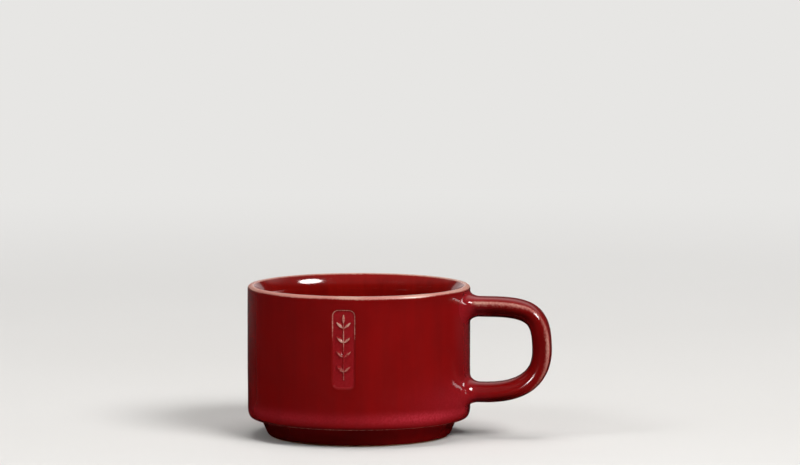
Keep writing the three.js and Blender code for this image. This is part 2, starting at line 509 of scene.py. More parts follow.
mouthHeight = cup["mouthFlare"] * math.sin(flareTurn) + cup["innerLip"] * (1 - math.sin(flareTurn))
rimMiddle = (cupRadius - cup["outerLip"] + boreRadius + mouthDepth) / 2
shoulderTop = cup["footHeight"] + cup["shoulderHeight"]
taperSlope = math.tan(math.radians(cup["footTaper"]))
taperShift = taperSlope - 1 / math.cos(math.radians(cup["footTaper"]))
footArcX = cup["footTop"] - cup["footHeight"] * taperSlope + cup["footEdge"] * taperShift
footCentre = (footArcX, cup["footEdge"])
glazeLine = math.degrees(math.asin(cup["bareFoot"] / cup["footEdge"] - 1))
ringInner = footArcX - cup["footRing"]
recessEdge = ringInner - cup["recessBevel"]

# Pressed panel on the wall: a sunken field with a plain leaf sprig standing in it
panel = {
    "turn": -87.3,
    "width": 8.7 * mm,
    "bottom": 24.6 * mm,
    "top": 55.5 * mm,
    "corner": 2.2 * mm,
    "depth": 0.6 * mm,
    "edge": 0.6 * mm,
    "burr": 0.04 * mm,
    "burrWidth": 0.8,    # burr and tan frame in shares of the edge
    "frameAt": 0.15,
    "frameWidth": 0.45,
    "frameTan": 0.6,
    "frameFade": (-2.0 * mm, 8.0 * mm),    # heights from the middle, between which the tan comes in
    "stemStart": 3.2 * mm,
    "stemHalfWidth": 0.3 * mm,
    "firstLeaves": 6.4 * mm,
    "leafSpacing": 5.8 * mm,
    "leafPairs": 4,
    "leafLength": 3.7 * mm,
    "leafHalfWidth": 1.1 * mm,
    "leafBelly": 0.85,    # below 1, a leaf is widest nearer its root
    "leafLean": 48.0,
    "leafRoot": 0.2 * mm,    # from the middle of the stem
    "leafHeight": 0.6 * mm,
    "leafSlope": 0.6,    # share of a leaf's half width that rises to its flat top
    "leafTan": (0.25, 0.75),    # shares between which its top turns tan
    "tan": 0.72,
    "tanChange": 0.2,
    "tanAcross": 0.9 * mm,    # ripples in the tan
    "tanUp": 2.1 * mm,
    "tanBend": 2.3,
    "lowTan": 0.6,    # what is left of the tan below the frame's fade
    "margin": 1.6 * mm,
    "fineStep": 0.14 * mm,
    "fineRow": 0.2 * mm,
}
panelMiddle = (panel["bottom"] + panel["top"]) / 2
panelTurn = math.radians(panel["turn"])

# Handle: a strap of egg-shaped section along two bends, with a flared collar at each root
strap = {
    "armThickness": 8.2 * mm,
    "gripThickness": 7.7 * mm,
    "ridgeShare": 0.35,
    "squareness": 2.2,
    "upperBendReach": 20.3 * mm,
    "upperBendFullness": 0.81,
    "lowerBendReach": 23.2 * mm,
    "lowerBendFullness": 0.65,
    "belowRim": 1.6 * mm,
    "aboveShoulder": 0.6 * mm,
    "flareAround": 6.6 * mm,
    "flareOut": 2.2 * mm,
    "flareIntoGap": 3.4 * mm,
    "flareLength": 4.5 * mm,
    "lining": 0.35 * mm,
    "sunk": 0.3 * mm,
    "columns": 112,
    "armRows": 24,
    "bendRows": 56,
    "flareRows": 28,
}
halfWide = strapWidth / 2
upperArm = rimHeight - strap["belowRim"] - strap["flareOut"] - strap["armThickness"] / 2
lowerArm = shoulderTop + strap["aboveShoulder"] + strap["flareOut"] + strap["armThickness"] / 2
gripHeight = (upperArm + lowerArm) / 2
gripMiddle = gripOuter - strap["gripThickness"] / 2
flareEnd = cupRadius + strap["flareLength"]
sectionTurn = np.linspace(-math.pi, math.pi, strap["columns"], endpoint=False)
sectionLean = np.degrees(np.abs(sectionTurn))    # 0 on the outer face, 180 in the finger gap


def handWaves(turn, up):
    # unevenness of hand work: slow sine waves round the cup and up its wall, together one high at most
    waves = 0.0
    for wave in unevenWaves:
        angle = wave["around"] * turn + wave["rise"] * up + wave["start"]
        waves = waves + wave["share"] * np.sin(angle)
    return waves


def leafShape(across, up, root, lean):
    # a lens along a leaning line: 1 at the midrib and 0 at the outline; at the share s of its length
    # its half width is w sin(pi s^belly)
    angle = math.radians(lean)
    along = (across - root[0]) * math.sin(angle) + (up - root[1]) * math.cos(angle)
    aside = (across - root[0]) * math.cos(angle) - (up - root[1]) * math.sin(angle)
    share = np.clip(along / panel["leafLength"], 0.0, 1.0)
    half = panel["leafHalfWidth"] * np.sin(np.pi * share ** panel["leafBelly"]) + tiny
    return np.clip(1.0 - np.abs(aside) / half, 0.0, 1.0) * ((along > 0) & (share < 1.0))


def sprig(across, rise):
    # stem and leaves, each from 0 to 1, by the height over the panel's bottom: the leaves stand in
    # facing pairs, with one more on top
    pairs = panel["firstLeaves"] + panel["leafSpacing"] * np.arange(panel["leafPairs"])
    topLeaf = pairs[-1] + panel["leafSpacing"] / 3
    stemEnd = pairs[-1] + panel["leafSpacing"] / 2
    leaves = [leafShape(across, rise, (0.0, topLeaf), 0.0)]
    for height in pairs:
        root = (panel["leafRoot"], height)
        leaves += [leafShape(side * across, rise, root, panel["leafLean"]) for side in (-1, 1)]
    onStem = (rise > panel["stemStart"]) & (rise < stemEnd)
    return bell(across, 0.0, panel["stemHalfWidth"]) * onStem, np.max(leaves, axis=0)


def panelDistance(across, height):
    # how far a point lies outside a rounded box; less than 0 inside it
    cornerAcross = np.abs(across) - (panel["width"] / 2 - panel["corner"])
    cornerUp = np.abs(height) - ((panel["top"] - panel["bottom"]) / 2 - panel["corner"])
    outside = np.hypot(np.maximum(cornerAcross, 0.0), np.maximum(cornerUp, 0.0))
    return outside + np.minimum(np.maximum(cornerAcross, cornerUp), 0.0) - panel["corner"]


def panelRelief(turn, up, withSprig=True):
    # how far the wall's surface moves out, where the glaze runs thin over the panel's edges, and the
    # sunken field: it sinks inside a rounded box, and stem and leaves rise in it
    across = (turn - panelTurn) * cupRadius
    height = up - panelMiddle
    edge = panel["edge"]
    distance = panelDistance(across, height)
    field = 1.0 - easeBetween(-edge, edge, distance)
    fade = easeBetween(*panel["frameFade"], height)
    burr = bell(distance, edge, edge * panel["burrWidth"])
    move = -panel["depth"] * field + panel["burr"] * burr
    frameLine = bell(distance, panel["frameAt"] * edge, panel["frameWidth"] * edge)
    thin = panel["frameTan"] * frameLine * fade
    if withSprig:
        stem, leaf = sprig(across, up - panel["bottom"])
        standing = np.maximum(stem, easeBetween(0.0, panel["leafSlope"], leaf))
        move = move + panel["leafHeight"] * standing * field
        crest = np.maximum(stem ** 2, easeBetween(*panel["leafTan"], leaf))
        ripple = across / panel["tanAcross"] + panel["tanBend"] * np.sin(height / panel["tanUp"])
        worn = panel["tan"] + panel["tanChange"] * np.sin(ripple)
        lasting = panel["lowTan"] + (1.0 - panel["lowTan"]) * fade
        thin = np.maximum(thin, crest * worn * field * lasting)
    return move, thin, field


def turnSteps(coarse, fine):
    # angles round the cup, closer together across the pressed panel
    half = (panel["width"] / 2 + panel["margin"]) / cupRadius
    near = panelTurn + np.linspace(-half, half, max(2, round(2 * half * cupRadius / fine)))
    far = panelTurn + np.linspace(half, 2 * math.pi - half, coarse)[1:-1]
    return np.concatenate([near, far])


def wallHeights(step):
    # heights up the straight wall, closer together across the pressed panel
    low = panel["bottom"] - panel["margin"]
    high = panel["top"] + panel["margin"]
    runs = [
        np.linspace(shoulderTop, low, rows["belowPanel"])[:-1],
        np.linspace(low, high, round((high - low) / step))[:-1],
        np.linspace(high, rimHeight - cup["outerLip"], rows["abovePanel"]),
    ]
    return np.concatenate(runs)


def outsideOutline(inset, rowStep):
    # from the glaze line up the foot, over the ledge, shoulder and wall to the middle of the rim
    footSide = cup["footTop"] + inset * taperShift
    footRound = cup["footEdge"] - inset
    heights = wallHeights(rowStep)
    lipCentre = (cupRadius - cup["outerLip"], rimHeight - cup["outerLip"])
    footStart = arcRun(footCentre, footRound, glazeLine, -cup["footTaper"], rows["footEdge"])
    ledge = cup["footHeight"] + inset
    shoulderStart = (cupRadius - cup["shoulderDepth"], ledge)
    shoulderCentre = (shoulderStart[0], shoulderTop)
    shoulderRadii = (cup["shoulderDepth"] - inset, cup["shoulderHeight"] - inset)
    land = rimHeight - inset
    return joinRuns(
        footStart,
        lineRun(footStart[-1], (footSide, ledge), rows["footSide"]),
        lineRun((footSide, ledge), shoulderStart, rows["ledge"]),
        arcRun(shoulderCentre, shoulderRadii, -90, 0, rows["shoulder"]),
        np.stack([np.full(len(heights), cupRadius - inset), heights], axis=1),
        arcRun(lipCentre, cup["outerLip"] - inset, 0, 90, rows["outerLip"]),
        lineRun((lipCentre[0], land), (rimMiddle, land), rows["land"]),
    )


def insideOutline(inset):
    # from near the middle of the floor out and up the inner wall to the middle of the rim
    corner = (boreRadius - cup["innerCorner"], cup["floorTop"] + cup["innerCorner"])
    flare = (boreRadius + cup["mouthFlare"], rimHeight - mouthHeight)
    lip = (boreRadius + mouthDepth, rimHeight - cup["innerLip"])
    flareStop = 180 - cup["mouthLean"]
    bore = boreRadius + inset
    floor = cup["floorTop"] - inset
    land = rimHeight - inset
    return joinRuns(
        lineRun((cup["poleRadius"], floor), (corner[0], floor), rows["floor"]),
        arcRun(corner, cup["innerCorner"] + inset, -90, 0, rows["innerCorner"]),
        lineRun((bore, corner[1]), (bore, flare[1]), rows["innerWall"]),
        arcRun(flare, cup["mouthFlare"] - inset, 180, flareStop, rows["flare"]),
        arcRun(lip, cup["innerLip"] - inset, flareStop, 90, rows["innerLip"]),
        lineRun((lip[0], land), (rimMiddle, land), rows["land"]),
    )


def turned(outline, turn, move=0.0):
    # each point of the outline goes round the cup's axis: x = r cos t, y = r sin t, r moved out
    radius = outline[:, 0][:, None] + move
    height = np.broadcast_to(outline[:, 1][:, None], (len(outline), len(turn)))
    return np.stack([axisX + radius * np.cos(turn), radius * np.sin(turn), height], axis=-1)


def makeCoat(name, skin, lining, masks, node):
    # an outside glaze: its skin with the masks, and the lining on the clay, where they are all 0
    bare = np.zeros(lining.shape[:2])
    shown = {key: np.broadcast_to(mask, skin.shape[:2]) for key, mask in masks.items()}
    masks = {key: np.concatenate([mask, bare]) for key, mask in shown.items()}
    grid = np.concatenate([skin, lining])
    makeSkin(name, grid, masks, outsideGlaze, [node])


# Marks on the outer coat

# Amounts are 0 to 1, and turns are degrees from the front towards the handle. A pair named At or Turn
# is a mark's middle and width, and any other pair says where a mark eases in or out
outerMarks = {
    "rimDepths": (1.8 * mm, 0.3 * mm),
    "rimRagged": 0.35 * mm,
    "rimFrontLoss": 0.2,
    "rimFrontTurn": (0.0, 35.0),
    "ledgeTan": 0.42,
    "ledgeAt": (0.15 * mm, 0.25 * mm),    # above the ledge
    "rollPool": 0.3,    # crimson roll of pooled glaze along the shoulder,
    "rollMoreAndSheen": 0.65,    # fuller towards the right, where it is also a painted sheen
    "rollUneven": 0.08,
    "rollTurn": (48.0, 26.0),
    "rollAt": (11.8 * mm, 2.3 * mm),
    "paintedGlow": 0.36,    # a softer painted glow of light over it, nearer the handle
    "glowTurn": (75.0, 32.0),
    "glowAt": (17.0 * mm, 8.0 * mm),
    "sidePaintedReflection": 0.22,    # and a painted reflection up the wall beside the handle
    "sideTurn": (88.0, 14.0),
    "fieldPool": 0.25,
    "upperRootPool": 0.12,
    "lowerRootPool": 0.3,
    "rootRings": (0.9, 1.7),    # against the size of a collar's foot
    # painted shade on the foot and the shoulder's underside, deeper on the left and less on the right
    "footPaintedShade": 0.62,
    "footLeft": 0.12,
    "footRight": 0.35,
    "footRightSpan": (15.0, 50.0),
    "footEnd": (0.6 * mm, 2.0 * mm),    # above the ledge
    # painted shade on the wall's left
    "leftPaintedShade": 0.2,
    "leftStart": (-160.0, -60.0),
    "leftEnd": (6.0, 21.0),
    "underRimShade": 0.14,
    "underRimDepths": (8.0 * mm, 2.5 * mm),
}


def rootPool(turn, up):
    # glaze pooled on the wall round each root: full inside the first of two superellipse rings, which
    # are measured against the collar's foot, and gone outside the second
    marks = outerMarks
    power = strap["squareness"]
    ridge = strap["armThickness"] * strap["ridgeShare"]
    outerReach = ridge + strap["flareOut"]
    innerReach = strap["armThickness"] - ridge + strap["flareIntoGap"]
    aside = np.abs(cupRadius * np.sin(turn)) / (halfWide + strap["flareAround"])
    pool_and_sheen = np.zeros(np.broadcast(turn, up).shape)
    roots = ((upperArm, 1.0, marks["upperRootPool"]), (lowerArm, -1.0, marks["lowerRootPool"]))
    for arm, facing, most in roots:
        out = (up - arm) * facing - (strap["armThickness"] / 2 - ridge)
        reach = np.where(out > 0, outerReach, innerReach)
        ring = (aside ** power + np.abs(out / reach) ** power) ** (1 / power)
        pool_and_sheen = np.maximum(pool_and_sheen, most * (1.0 - easeBetween(*marks["rootRings"], ring)))
    return pool_and_sheen * (np.cos(turn) > 0)


def outerThin(azimuth, up, uneven):
    # tan on the rim, ragged and less of it in front, and on the edge of the ledge
    marks = outerMarks
    rim = belowRim(marks["rimDepths"], up + marks["rimRagged"] * uneven)
    rim = rim * (1.0 - marks["rimFrontLoss"] * bell(azimuth, *marks["rimFrontTurn"]))
    ledge = marks["ledgeTan"] * bell(up - cup["footHeight"], *marks["ledgeAt"])
    return np.maximum(rim, ledge)


def outerPoolAndSheen(azimuth, up, uneven, onWall):
    # crimson pooled glaze along the shoulder, fuller with a painted sheen towards the right; a painted
    # glow over it and a painted reflection up the wall's right side
    marks = outerMarks
    roll = marks["rollPool"] + marks["rollMoreAndSheen"] * bell(azimuth, *marks["rollTurn"])
    roll = (roll + marks["rollUneven"] * uneven) * bell(up, *marks["rollAt"])
    glow = marks["paintedGlow"] * bell(azimuth, *marks["glowTurn"]) * bell(up, *marks["glowAt"])
    side = marks["sidePaintedReflection"] * bell(azimuth, *marks["sideTurn"]) * onWall
    return np.maximum(np.maximum(roll, glow), side)


def outerPaintedShade(azimuth, up, field):
    # dark red painted shade on the foot and under the shoulder, less of it on the right, milder painted
    # shade on the wall's left, and a darker band under the rim
    marks = outerMarks
    left = (1.0 - easeBetween(*marks["leftEnd"], azimuth)) * easeBetween(*marks["leftStart"], azimuth)
    right = easeBetween(*marks["footRightSpan"], azimuth)
    onFoot = 1.0 - easeBetween(*marks["footEnd"], up - cup["footHeight"])
    foot = (marks["footPaintedShade"] + marks["footLeft"] * left - marks["footRight"] * right) * onFoot
    wall = marks["leftPaintedShade"] * left * (1.0 - field)
    underRim = marks["underRimShade"] * belowRim(marks["underRimDepths"], up)
    return np.maximum(foot, np.maximum(wall, underRim))


def outerCoat():
    # the outside outline turned round the axis, with the panel's relief and the hand's waves, and turned
    # once more on the clay as its lining
    turn = turnSteps(cup["columns"], panel["fineStep"])
    azimuth = np.degrees(np.angle(np.exp(1j * (turn + math.pi / 2))))
    outline = outsideOutline(0.0, panel["fineRow"])
    liningOutline = outsideOutline(cup["glaze"], cup["hiddenRow"])[::-1]
    up = outline[:, 1][:, None]
    uneven = handWaves(turn, up)
    onWall = easeBetween(cup["footHeight"], shoulderTop, up)
    onWall = onWall * (1.0 - belowRim((cup["evenRim"], 0.0), up))
    relief, panelThin, field = panelRelief(turn, up)
    skin = turned(outline, turn, (relief + cup["unevenness"] * uneven) * onWall)
    liningRelief, _, _ = panelRelief(turn, liningOutline[:, 1][:, None], withSprig=False)
    lining = turned(liningOutline, turn, np.minimum(liningRelief, 0.0))
    fieldPool = outerMarks["fieldPool"] * field * onWall
    pool_and_sheen = np.maximum(outerPoolAndSheen(azimuth, up, uneven, onWall), fieldPool)
    masks = {
        "thin": np.maximum(outerThin(azimuth, up, uneven), panelThin * onWall),
        "pool_and_sheen": np.maximum(pool_and_sheen, rootPool(turn, up)),
        "painted_shade": outerPaintedShade(azimuth, up, field),
    }
    makeCoat("outer_glaze_coat", skin, lining, masks, "outer_glaze")


linerMarks = {
    "rimTan": 0.7,
    "rimDepths": (0.9 * mm, 0.05 * mm),
    "poolHeight": 5.0 * mm,    # over the floor
}


def linerCoat():
    # the inside outline, and the same again on the clay, turned round the axis
    turn = np.linspace(0, 2 * math.pi, cup["columns"], endpoint=False)
    outline = np.concatenate([insideOutline(0.0), insideOutline(cup["glaze"])[::-1]])
    up = outline[:, 1][:, None]
    masks = {
        "thin": linerMarks["rimTan"] * belowRim(linerMarks["rimDepths"], up),
        "pool_and_sheen": bell(up, cup["floorTop"], linerMarks["poolHeight"]),
    }
    grid = turned(outline, turn)
    makeSkin("liner_glaze_coat", grid, masks, linerGlaze, ["liner_glaze"], poles=True)


def clayCup():
    # foot, outside and inside as one outline under the glaze, turned round the axis and sunk at the panel
    turn = turnSteps(cup["columns"], cup["hiddenColumn"])
    recess = cup["recessDepth"]
    outline = joinRuns(
        lineRun((cup["poleRadius"], recess), (recessEdge, recess), rows["recess"]),
        lineRun((recessEdge, recess), (ringInner, 0.0), rows["bevel"]),
        lineRun((ringInner, 0.0), (footArcX, 0.0), rows["ring"]),
        arcRun(footCentre, cup["footEdge"], -90, glazeLine, rows["footEdge"]),
        outsideOutline(cup["glaze"], cup["hiddenRow"]),
        insideOutline(cup["glaze"])[::-1],
    )
    relief, _, _ = panelRelief(turn, outline[:, 1][:, None], withSprig=False)
    onWall = (outline[:, 0] > cupRadius - cup["outerLip"])[:, None]
    grid = turned(outline, turn, np.minimum(relief, 0.0) * onWall)
    makeSkin("clay_cup", grid, {}, bareClay, ["cup_body"], poles=True)


baseMarks = {
    "edgeTan": 0.55,
    "edgeWidth": 1.0 * mm,
    "pool_and_sheen": 0.4,
    "poolWidth": 5.0 * mm,
}


def baseCoat():
    # a shallow dish of glaze in the recess, rounded at its edge, turned round the axis
    marks = baseMarks
    turn = np.linspace(0, 2 * math.pi, cup["columns"], endpoint=False)
    pole, top = cup["poleRadius"], cup["recessDepth"]
    bottom = top - cup["glaze"]
    roundStart = recessEdge - cup["baseCreep"]
    outline = joinRuns(
        lineRun((pole, bottom), (roundStart, bottom), rows["base"]),
        arcRun((roundStart, top), (cup["baseCreep"], cup["glaze"]), -90, 0, rows["baseEdge"]),
        lineRun((recessEdge, top), (pole, top), rows["baseBack"]),
    )
    reach = outline[:, 0][:, None]
    masks = {
        "thin": marks["edgeTan"] * easeBetween(recessEdge - marks["edgeWidth"], recessEdge, reach),
        "pool_and_sheen": marks["pool_and_sheen"] * bell(reach, recessEdge, marks["poolWidth"]),
    }
    grid = turned(outline, turn)
    makeSkin("base_glaze_coat", grid, masks, outsideGlaze, ["base_glaze"], poles=True)


clayCup()
outerCoat()
linerCoat()
baseCoat()


def rounded(value):
    # signed power that makes a superellipse of a cosine or sine
    return np.sign(value) * np.abs(value) ** (2 / strap["squareness"])


def strapSection(thickness, inset, spread=0.0):
    # an egg: two half superellipses that share their widest line, the ridge, near the outer face;
    # gives the way out of the finger gap and the way aside
    ridge = thickness * strap["ridgeShare"]
    outer = ridge - inset + strap["flareOut"] * spread
    inner = thickness - ridge - inset + strap["flareIntoGap"] * spread
    across = np.cos(sectionTurn)
    out = thickness / 2 - ridge + np.where(across > 0, outer, inner) * rounded(across)
    aside = (halfWide - inset + strap["flareAround"] * spread) * rounded(np.sin(sectionTurn))
    return out, np.broadcast_to(aside, out.shape)


def strapLine():
    # middle line of the strap in the handle's plane, from collar to collar: two arms, joined by two
    # bends that meet at the middle of the grip; with the way out of the gap and the share of its length
    upperEnd = (gripMiddle - strap["upperBendReach"], upperArm)
    lowerEnd = (gripMiddle - strap["lowerBendReach"], lowerArm)
    upperCorner = (gripMiddle, upperArm)
    lowerCorner = (gripMiddle, lowerArm)
    grip = (gripMiddle, gripHeight)
    line = joinRuns(
        lineRun((flareEnd, upperArm), upperEnd, strap["armRows"]),
        bendRun(upperEnd, upperCorner, grip, strap["upperBendFullness"], strap["bendRows"]),
        bendRun(grip, lowerCorner, lowerEnd, strap["lowerBendFullness"], strap["bendRows"]),
        lineRun(lowerEnd, (flareEnd, lowerArm), strap["armRows"]),
    )
    along = np.gradient(line, axis=0)
    along /= np.linalg.norm(along, axis=1)[:, None]
    length = np.append(0.0, np.cumsum(np.linalg.norm(np.diff(line, axis=0), axis=1)))
    return line, np.stack([-along[:, 1], along[:, 0]], axis=1), length / length[-1]


def strapRing(line, outward, inset):
    # the section at each point of the line: out along the line's normal and aside along y,
    # swelling from the grip's thickness to the arms' within a third of the upper bend's reach
    swell = easeBetween(0.0, strap["upperBendReach"] / 3, gripMiddle - line[:, 0])[:, None]
    thickness = strap["gripThickness"] + (strap["armThickness"] - strap["gripThickness"]) * swell
    out, y = strapSection(thickness, inset)
    x = axisX + line[:, 0][:, None] + out * outward[:, 0][:, None]
    z = line[:, 1][:, None] + out * outward[:, 1][:, None]
    return np.stack([x, y, z], axis=-1)


# Marks on the strap and its collars

# Leans are degrees from the outer face, and places are shares of the strap's length from its upper
# root. A pair named At is a mark's middle and width
strapMarks = {
    "toGrip": (0.18, 0.44),    # from the arm's marks to the grip's
    "ridgeTan": 0.65,
    "ridgeLean": 71.0,
    "ridgeDrift": 34.0,
    "ridgeOutside": 13.0,    # width of the tan on either side of its middle
    "ridgeInside": 27.0,
    "ridgeSpread": 8.0,
    "bendLoss": 0.2,
    "bendAt": (0.34, 0.07),
    "gripMore": 0.02,
    "lowLoss": 0.75,
    "lowSpan": (0.52, 0.85),
    # painted shade under the upper arm, along the grip and under the lower arm
    "underShade": 0.9,
    "underLean": (81.0, 113.0),
    "underEnd": (0.25, 0.5),
    "sideShade": 0.45,
    "sideLean": (48.0, 70.0),
    "sideAt": (0.45, 0.2),
    "belowShade": 0.9,
    "belowLean": (73.0, 105.0),
    "belowStart": (0.68, 0.86),
    "armPool": 0.15,
    "upperPoolEnd": (0.0, 0.1),
    "lowerPoolStart": (0.88, 1.0),
    "collarPool": 0.36,
    "collarPoolLoss": 0.18,    # from the wall to the strap
    "collarSpan": (0.3, 1.0),    # where the strap's own marks come in along a collar
}


def ridgeThin(share):
    # tan along the strap's two outer ridges, sharp on the outer side and soft towards the gap; it is
    # weaker in the upper bend, drifts onto the outer face at the grip and fades towards the lower arm
    marks = strapMarks
    share = share[:, None]
    atGrip = easeBetween(*marks["toGrip"], share)
    middle = marks["ridgeLean"] - marks["ridgeDrift"] * atGrip
    inside = marks["ridgeInside"] + marks["ridgeSpread"] * atGrip
    width = np.where(sectionLean > middle, inside, marks["ridgeOutside"])
    bent = marks["bendLoss"] * bell(share, *marks["bendAt"])
    worn = marks["ridgeTan"] - bent + marks["gripMore"] * atGrip
    low = 1.0 - marks["lowLoss"] * easeBetween(*marks["lowSpan"], share)
    return worn * bell(sectionLean, middle, width) * low


def strapPaintedShade(share):
    # painted shade under the upper arm, on the grip's sides and the face towards the gap, and under the
    # lower arm
    marks = strapMarks
    share = share[:, None]
    under = marks["underShade"] * easeBetween(*marks["underLean"], sectionLean)
    under = under * (1.0 - easeBetween(*marks["underEnd"], share))
    sides = marks["sideShade"] * easeBetween(*marks["sideLean"], sectionLean)
    sides = sides * bell(share, *marks["sideAt"])
    below = marks["belowShade"] * (1.0 - easeBetween(*marks["belowLean"], sectionLean))
    below = below * easeBetween(*marks["belowStart"], share)
    return np.maximum(np.maximum(under, sides), below)


def strapPool(share):
    # a little crimson at each end of the strap
    upper = 1.0 - easeBetween(*strapMarks["upperPoolEnd"], share)
    lower = easeBetween(*strapMarks["lowerPoolStart"], share)
    return strapMarks["armPool"] * (upper + lower)[:, None]


def strapCoat():
    # the strap's section carried along its line, and once more on the clay as its lining
    line, outward, share = strapLine()
    skin = strapRing(line, outward, 0.0)
    lining = strapRing(line, outward, strap["lining"])[::-1]
    masks = {"thin": ridgeThin(share), "pool_and_sheen": strapPool(share), "painted_shade": strapPaintedShade(share)}
    makeCoat("handle_glaze_coat", skin, lining, masks, "handle_glaze")


def slipCollar(name, node, arm, facing, share):
    # a flare from the wall to the strap, as a quarter ellipse: at turn t it is 1 - sin t of its spread
    # wide, and 1 - cos t of the way from the wall to its end; share is its place along the strap
    turn = np.linspace(0.0, math.pi / 2, strap["flareRows"])[:, None]
    out, y = strapSection(strap["armThickness"], 0.0, 1.0 - np.sin(turn))
    onWall = np.sqrt(cupRadius ** 2 - y ** 2)
    x = onWall + (flareEnd - onWall) * (1.0 - np.cos(turn))
    skin = np.stack([x, y, arm + facing * out], axis=-1)
    toe = skin[:1] - [strap["sunk"], 0.0, 0.0]
    boreOut, boreY = strapSection(strap["armThickness"], strap["lining"])
    boreZ = arm + facing * boreOut
    boreWall = np.sqrt(cupRadius ** 2 - boreY ** 2) - strap["sunk"]
    boreFar = np.stack([np.full(len(boreY), flareEnd), boreY, boreZ], axis=-1)[None]
    boreNear = np.stack([boreWall, boreY, boreZ], axis=-1)[None]
    grid = np.concatenate([toe, skin, boreFar, boreNear]) + [axisX, 0.0, 0.0]
    along = np.concatenate([[0.0], turn[:, 0] / (math.pi / 2), [0.0, 0.0]])[:, None]
    place = np.array([share])
    # the strap's tan and painted shade come in along the collar towards the strap
    arrived = easeBetween(*strapMarks["collarSpan"], along)
    masks = {
        "thin": ridgeThin(place) * arrived,
        "pool_and_sheen": strapMarks["collarPool"] - strapMarks["collarPoolLoss"] * along,
        "painted_shade": strapPaintedShade(place) * arrived,
    }
    makeSkin(name, grid, masks, outsideGlaze, [node])


strapCoat()
slipCollar("upper_slip_collar", "upper_slip_joint", arm=upperArm, facing=1.0, share=0.0)
slipCollar("lower_slip_collar", "lower_slip_joint", arm=lowerArm, facing=-1.0, share=1.0)

# The strap's clay core keeps its solid, under the coat
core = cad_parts["handle"]
core.data.materials.clear()
core.data.materials.append(bareClay)


# Stage: a pale sweep of floor, soft lamps and the camera

stage = {
    "floor": tone(212, 210, 207),
    "mottle": tone(255, 255, 255),
    "mottleScale": 3.0,
    "mottleSpan": (0.3, 0.7),
    "mottleMost": 0.06,
    "floorRoughness": 0.9,
    "floorSpecular": 0.1,
    "farFloor": tone(231, 230, 228),
    "farSpan": (0.15, 1.1),
    "depthBehind": 6.0,
    "depthBefore": 4.0,
    "halfWidth": 8.0,
    "sweep": 3.0,
    "rows": 24,
    "columns": 9,
}


def sweepMaterial():
    # matte and faintly mottled; far off it glows for the camera alone, which keeps it pale
    constants = {"Roughness": stage["floorRoughness"], "Specular IOR Level": stage["floorSpecular"]}
    material, tree, shader = newMaterial("matte_floor", **constants)
    place = objectPlace(tree)
    mottle = noiseNode(tree, place, stage["mottleScale"])
    mottle = rangeNode(tree, mottle, *stage["mottleSpan"], 0.0, stage["mottleMost"])
    colour = mixColours(tree, mottle, stage["floor"], stage["mottle"])
    tree.links.new(colour, shader.inputs["Base Color"])
    away = addNode(tree, "ShaderNodeVectorMath", operation="LENGTH")
    tree.links.new(place, away.inputs[0])
    far = rangeNode(tree, away.outputs["Value"], *stage["farSpan"])
    toCamera = addNode(tree, "ShaderNodeLightPath").outputs["Is Camera Ray"]
    glow = addNode(tree, "ShaderNodeEmission")
    glow.inputs["Color"].default_value = stage["farFloor"]
    blend = addNode(tree, "ShaderNodeMixShader")
    tree.links.new(mathNode(tree, "MULTIPLY", far, toCamera), blend.inputs["Fac"])
    tree.links.new(shader.outputs["BSDF"], blend.inputs[1])
    tree.links.new(glow.outputs["Emission"], blend.inputs[2])
    tree.links.new(blend.outputs["Shader"], tree.nodes["Material Output"].inputs["Surface"])
    return material


def paleSweep():
    # a flat floor that curves up behind the mug as a quarter circle, carried along x
    before, behind = -stage["depthBefore"], stage["depthBehind"]
    outline = joinRuns(
        lineRun((before, 0.0), (behind, 0.0), stage["rows"]),
        arcRun((behind, stage["sweep"]), stage["sweep"], -90, 0, stage["rows"]),
    )
    across = np.linspace(-stage["halfWidth"], stage["halfWidth"], stage["columns"])
    x, y = np.meshgrid(across, outline[:, 0])
    z = np.broadcast_to(outline[:, 1][:, None], x.shape)
    points = np.stack([x, y, z], axis=-1).reshape(-1, 3)
    faces = gridFaces(*x.shape, closeRows=False, closeColumns=False)
    floor = newPiece("pale_sweep", points, faces.tolist(), sweepMaterial())
    floor.visible_glossy = False    # the glaze mirrors the dim lower half of the room instead


room = {    # a span is the part of a direction's x, y or z over which the light changes
    "behind": 0.85,
    "before": 0.16,
    "depthSpan": (0.25, 0.9),    # from before the mug to behind it
    "aboveSpan": (0.3, 0.62),
    "belowLeft": 0.1,
    "belowRight": 0.035,
    "acrossSpan": (-0.5, 0.3),    # from left to right
    "belowSpan": (-0.138, -0.11),    # darker still under this
}


def worldLight():
    # white light high behind the mug, a dimmer room before it, and below that a dark one, which
    # hardly shows but in reflections
    world = bpy.data.worlds.new("studio")
    world.use_nodes = True
    tree = world.node_tree
    background = tree.nodes["Background"]
    background.inputs["Color"].default_value = (1.0, 1.0, 1.0, 1.0)
    parts = addNode(tree, "ShaderNodeSeparateXYZ")
    tree.links.new(addNode(tree, "ShaderNodeTexCoord").outputs["Generated"], parts.inputs["Vector"])
    x, y, z = (parts.outputs[key] for key in "XYZ")
    level = rangeNode(tree, y, *room["depthSpan"], room["before"], room["behind"])
    above = rangeNode(tree, z, *room["aboveSpan"])
    below = rangeNode(tree, x, *room["acrossSpan"], room["belowLeft"], room["belowRight"])
    below = mathNode(tree, "MULTIPLY", below, rangeNode(tree, z, *room["belowSpan"]))
    share = mathNode(tree, "MAXIMUM", above, below)
    tree.links.new(mathNode(tree, "MULTIPLY", level, share), background.inputs["Strength"])
    scene.world = world


def aroundMug(azimuth, elevation, distance):
    # the middle of the cup, and a place seen from it: azimuth 0 is in front, along -y, and 90 is over
    # the handle
    turn, rise = math.radians(azimuth), math.radians(elevation)
    flat = math.cos(rise)
    way = Vector((flat * math.sin(turn), -flat * math.cos(turn), math.sin(rise)))
    middle = Vector((axisX, 0.0, rimHeight / 2))
    return middle, middle + distance * way


